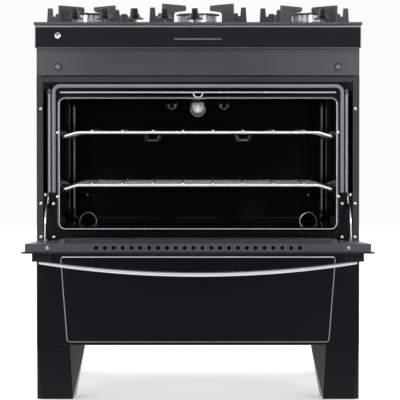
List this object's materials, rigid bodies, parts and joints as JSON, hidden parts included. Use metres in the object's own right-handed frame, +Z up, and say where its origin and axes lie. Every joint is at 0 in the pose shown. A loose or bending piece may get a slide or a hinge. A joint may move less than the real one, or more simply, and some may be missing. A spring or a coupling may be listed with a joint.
{
  "type": "freestanding gas range",
  "caption": "Freestanding gas range with burners, grates and knobs on its cooktop, a wide oven with a drop-down glass door, two sliding racks and a plinth panel on four tapered legs.",
  "frame": {"origin": "on the floor, at the middle of the overall footprint with the door open as drawn (from the open door's edge to the gas inlet's end)", "axes": "+X to the viewer's right along the front, +Y from the front to the rear, +Z up"},
  "size_m": [0.77, 1.0612, 0.94],
  "materials": {
    "grey_enamel": "satin",
    "zinc_sheet": "satin",
    "frame_enamel": "semi-gloss",
    "panel_grey": "satin",
    "rubber_black": "matte",
    "fascia_glass": "gloss",
    "trim": "satin",
    "black_enamel": "gloss",
    "leg_plastic": "satin",
    "mineral_wool": "matte",
    "burner_steel": "satin",
    "gasket_braid": "woven",
    "ceramic": "satin",
    "lamp_glass": "gloss",
    "chrome_wire": "polished",
    "cooktop_steel": "semi-gloss",
    "burner_aluminium": "satin",
    "cap_enamel": "semi-gloss",
    "cast_grate": "matte",
    "brass": "satin",
    "pipe_steel": "satin",
    "feed_aluminium": "satin",
    "button_metal": "polished",
    "spring_steel": "satin",
    "screw_steel": "polished",
    "door_enamel": "satin",
    "window_glass": "gloss",
    "door_glass": "gloss",
    "handle_metal": "satin",
    "mount_plastic": "satin",
    "arm_steel": "polished",
    "knob_plastic": "satin",
    "spindle_steel": "satin"
  },
  "bodies": {
    "range_body": {"side_panel_left": "grey_enamel", "side_panel_right": "grey_enamel", "rear_cover": "zinc_sheet", "base_tray": "zinc_sheet", "oven_front_frame": "frame_enamel", "top_rail": "grey_enamel", "upper_front_panel": "panel_grey", "door_buffers": "rubber_black", "fascia_glass": "fascia_glass", "fascia_trim": "trim", "lower_panel": "black_enamel", "leg_front_left": "leg_plastic", "leg_front_right": "leg_plastic", "leg_rear_left": "leg_plastic", "leg_rear_right": "leg_plastic", "oven_cavity": "black_enamel", "oven_floor": "black_enamel", "oven_insulation": "mineral_wool", "oven_burner": "burner_steel", "oven_gasket": "gasket_braid", "lamp_socket": "ceramic", "lamp_bulb": "lamp_glass", "lamp_cover": "lamp_glass", "cooktop": "cooktop_steel", "burner_crowns": "burner_aluminium", "burner_caps": "cap_enamel", "spark_electrodes": "ceramic", "gas_valves": "brass", "gas_manifold": "pipe_steel", "feed_tubes": "feed_aluminium", "gas_inlet": "brass", "door_springs": "spring_steel", "hinge_brackets": "spring_steel", "frame_screws": "screw_steel"},
    "door": {"door_inner_panel": "door_enamel", "door_inner_glass": "window_glass", "door_outer_glass": "door_glass", "clips_and_screws": "trim", "door_handle": "handle_metal", "handle_mounts": "mount_plastic", "hinge_plates": "spring_steel"},
    "spring_link_pair": {"spring_links": "arm_steel"},
    "rack_upper_slide": {"rack_upper": "chrome_wire"},
    "rack_lower_slide": {"rack_lower": "chrome_wire"},
    "grate_left_lift": {"grate_left": "cast_grate"},
    "grate_centre_lift": {"grate_centre": "cast_grate"},
    "grate_right_lift": {"grate_right": "cast_grate"},
    "ignition_push": {"ignition_button": "button_metal"},
    "burner_1_shaft": {"burner_spindle_1": "spindle_steel"},
    "burner_1_handwheel": {"burner_knob_1": "knob_plastic"},
    "burner_2_shaft": {"burner_spindle_2": "spindle_steel"},
    "burner_2_handwheel": {"burner_knob_2": "knob_plastic"},
    "burner_3_shaft": {"burner_spindle_3": "spindle_steel"},
    "burner_3_handwheel": {"burner_knob_3": "knob_plastic"},
    "burner_4_shaft": {"burner_spindle_4": "spindle_steel"},
    "burner_4_handwheel": {"burner_knob_4": "knob_plastic"},
    "burner_5_shaft": {"burner_spindle_5": "spindle_steel"},
    "burner_5_handwheel": {"burner_knob_5": "knob_plastic"},
    "oven_shaft": {"oven_spindle": "spindle_steel"},
    "oven_handwheel": {"oven_knob": "knob_plastic"}
  },
  "joints": [
    {"name": "door_hinge", "type": "hinge", "parent": "range_body", "child": "door", "pos_m": [0, -0.07243, 0.364], "axis": [1, 0, 0], "range_deg": [-88, 0], "deforming": ["door_springs"]},
    {"name": "rack_upper_out", "type": "slide", "parent": "range_body", "child": "rack_upper_slide", "axis": [0, -1, 0], "range_m": [0, 0.33]},
    {"name": "rack_lower_out", "type": "slide", "parent": "range_body", "child": "rack_lower_slide", "axis": [0, -1, 0], "range_m": [0, 0.33]},
    {"name": "grate_left_off", "type": "slide", "parent": "range_body", "child": "grate_left_lift", "axis": [0, 0, 1], "range_m": [0, 0.15]},
    {"name": "grate_centre_off", "type": "slide", "parent": "range_body", "child": "grate_centre_lift", "axis": [0, 0, 1], "range_m": [0, 0.15]},
    {"name": "grate_right_off", "type": "slide", "parent": "range_body", "child": "grate_right_lift", "axis": [0, 0, 1], "range_m": [0, 0.15]},
    {"name": "ignition_press", "type": "slide", "parent": "range_body", "child": "ignition_push", "axis": [0, 1, 0], "range_m": [0, 0.003], "stiffness_N_per_m": 300, "springref_m": -0.002},
    {"name": "spring_link", "type": "hinge", "parent": "door", "child": "spring_link_pair", "pos_m": [0, -0.16537, 0.36725], "axis": [1, 0, 0], "range_deg": [0, 88]},
    {"name": "burner_1_turn", "type": "hinge", "parent": "range_body", "child": "burner_1_shaft", "pos_m": [-0.2915, -0.02443, 0.895], "axis": [0, 0, 1], "range_deg": [0, 210]},
    {"name": "burner_1_press", "type": "slide", "parent": "burner_1_shaft", "child": "burner_1_handwheel", "axis": [0, 0, -1], "range_m": [0, 0.003], "stiffness_N_per_m": 250, "springref_m": -0.003},
    {"name": "burner_2_turn", "type": "hinge", "parent": "range_body", "child": "burner_2_shaft", "pos_m": [-0.2205, -0.02443, 0.895], "axis": [0, 0, 1], "range_deg": [0, 210]},
    {"name": "burner_2_press", "type": "slide", "parent": "burner_2_shaft", "child": "burner_2_handwheel", "axis": [0, 0, -1], "range_m": [0, 0.003], "stiffness_N_per_m": 250, "springref_m": -0.003},
    {"name": "burner_3_turn", "type": "hinge", "parent": "range_body", "child": "burner_3_shaft", "pos_m": [-0.1495, -0.02443, 0.895], "axis": [0, 0, 1], "range_deg": [0, 210]},
    {"name": "burner_3_press", "type": "slide", "parent": "burner_3_shaft", "child": "burner_3_handwheel", "axis": [0, 0, -1], "range_m": [0, 0.003], "stiffness_N_per_m": 250, "springref_m": -0.003},
    {"name": "burner_4_turn", "type": "hinge", "parent": "range_body", "child": "burner_4_shaft", "pos_m": [-0.0785, -0.02443, 0.895], "axis": [0, 0, 1], "range_deg": [0, 210]},
    {"name": "burner_4_press", "type": "slide", "parent": "burner_4_shaft", "child": "burner_4_handwheel", "axis": [0, 0, -1], "range_m": [0, 0.003], "stiffness_N_per_m": 250, "springref_m": -0.003},
    {"name": "burner_5_turn", "type": "hinge", "parent": "range_body", "child": "burner_5_shaft", "pos_m": [-0.0075, -0.02443, 0.895], "axis": [0, 0, 1], "range_deg": [0, 210]},
    {"name": "burner_5_press", "type": "slide", "parent": "burner_5_shaft", "child": "burner_5_handwheel", "axis": [0, 0, -1], "range_m": [0, 0.003], "stiffness_N_per_m": 250, "springref_m": -0.003},
    {"name": "oven_turn", "type": "hinge", "parent": "range_body", "child": "oven_shaft", "pos_m": [0.2955, -0.02443, 0.895], "axis": [0, 0, 1], "range_deg": [0, 270]},
    {"name": "oven_press", "type": "slide", "parent": "oven_shaft", "child": "oven_handwheel", "axis": [0, 0, -1], "range_m": [0, 0.003], "stiffness_N_per_m": 250, "springref_m": -0.003}
  ],
  "couplings": [
    {"joint": "spring_link", "follows": "door_hinge", "ratio": -1}
  ]
}
